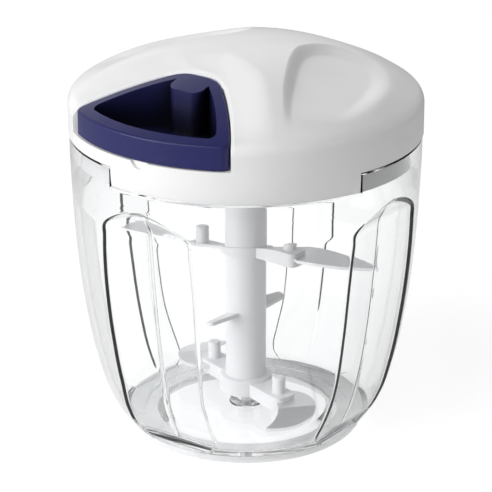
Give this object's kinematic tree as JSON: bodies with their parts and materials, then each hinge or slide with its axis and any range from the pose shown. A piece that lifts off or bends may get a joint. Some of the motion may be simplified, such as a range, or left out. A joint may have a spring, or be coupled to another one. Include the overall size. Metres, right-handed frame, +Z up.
{
  "type": "food chopper",
  "caption": "Hand-held food chopper: a clear fluted bowl, a domed lid with a pull handle on a cord, and a column with curved steel blades.",
  "frame": {"origin": "under the middle of the foot ring, at the surface that the chopper stands on", "axes": "+Z up along the blades' axis; the handle is pulled towards -Y"},
  "size_m": [0.135, 0.135, 0.1536],
  "materials": {
    "clear_plastic": "clear moulded plastic, polished",
    "grip_rubber": "pale translucent rubber",
    "steel": "turned steel",
    "bush_plastic": "plain moulded plastic",
    "column_plastic": "white moulded plastic, satin",
    "blade_steel": "stainless steel, fine brushed",
    "lid_plastic": "white moulded plastic, satin",
    "bush_brass": "plain brass",
    "mechanism_plastic": "grey moulded plastic",
    "spring_steel": "blued spring strip",
    "cord": "braided cord",
    "bright_metal": "polished eyelet",
    "handle_plastic": "dark blue moulded plastic, fine satin"
  },
  "bodies": {
    "bowl": {"bowl": "clear_plastic", "base_grip_ring": "grip_rubber"},
    "pivot": {"pivot_pin": "steel"},
    "blade_unit": {"blade_column": "column_plastic", "column_bush": "bush_plastic", "upper_blade_arm": "column_plastic", "upper_blade": "blade_steel", "upper_blade_pegs": "column_plastic", "middle_paddle": "column_plastic", "lower_blade_arm": "column_plastic", "lower_blade": "blade_steel", "lower_blade_pegs": "column_plastic"},
    "lid": {"lid_cover": "lid_plastic", "mechanism_plate": "lid_plastic", "plate_screws": "steel", "drive_bush": "bush_brass", "reel_axle": "steel", "reel_washer": "steel", "cord_lead": "cord", "cord_eyelet": "bright_metal", "pull_cord": "cord", "recoil_spring": "spring_steel"},
    "drive": {"drive_hub": "mechanism_plastic"},
    "reel": {"reel": "mechanism_plastic", "reel_cover": "mechanism_plastic", "pawl_pins": "steel", "cord_winding": "cord"},
    "pawl_a": {"pawl_a": "mechanism_plastic"},
    "pawl_b": {"pawl_b": "mechanism_plastic"},
    "handle": {"handle": "handle_plastic", "cord_knot": "cord"}
  },
  "joints": [
    {"name": "blade_spin", "type": "hinge", "parent": "bowl", "child": "pivot", "pos_m": [0, 0, 0.0132], "axis": [0, 0, 1], "range_deg": [-1361, 0]},
    {"name": "blade_lift", "type": "slide", "parent": "pivot", "child": "blade_unit", "axis": [0, 0, 1], "range_m": [0, 0.12]},
    {"name": "lid_lift", "type": "slide", "parent": "bowl", "child": "lid", "axis": [0, 0, 1], "range_m": [0, 0.24]},
    {"name": "drive_spin", "type": "hinge", "parent": "lid", "child": "drive", "pos_m": [0, 0, 0.1165], "axis": [0, 0, 1], "range_deg": [-1361, 0]},
    {"name": "reel_spin", "type": "hinge", "parent": "lid", "child": "reel", "pos_m": [0, 0, 0.1255], "axis": [0, 0, 1], "range_deg": [-1361, 0], "deforming": ["recoil_spring", "cord_winding"]},
    {"name": "pawl_a_swing", "type": "hinge", "parent": "reel", "child": "pawl_a", "pos_m": [0.01011, 0.01342, 0.1206], "axis": [0, 0, 1], "range_deg": [0, 12], "stiffness_Nm_per_rad": 0.0005, "springref_deg": -17.19},
    {"name": "pawl_b_swing", "type": "hinge", "parent": "reel", "child": "pawl_b", "pos_m": [-0.01011, -0.01342, 0.1206], "axis": [0, 0, 1], "range_deg": [0, 12], "stiffness_Nm_per_rad": 0.0005, "springref_deg": -17.19},
    {"name": "handle_pull", "type": "slide", "parent": "lid", "child": "handle", "axis": [0, -1, 0], "range_m": [0, 0.4], "stiffness_N_per_m": 10, "springref_m": -0.5, "deforming": ["pull_cord"]}
  ],
  "couplings": [
    {"joint": "reel_spin", "follows": "handle_pull", "rad_per_m": -59.347},
    {"joint": "drive_spin", "follows": "handle_pull", "rad_per_m": -59.347},
    {"joint": "blade_spin", "follows": "handle_pull", "rad_per_m": -59.347},
    {"joint": "blade_lift", "follows": "lid_lift", "ratio": 0.5},
    {"joint": "pawl_b_swing", "follows": "pawl_a_swing", "ratio": 1}
  ]
}
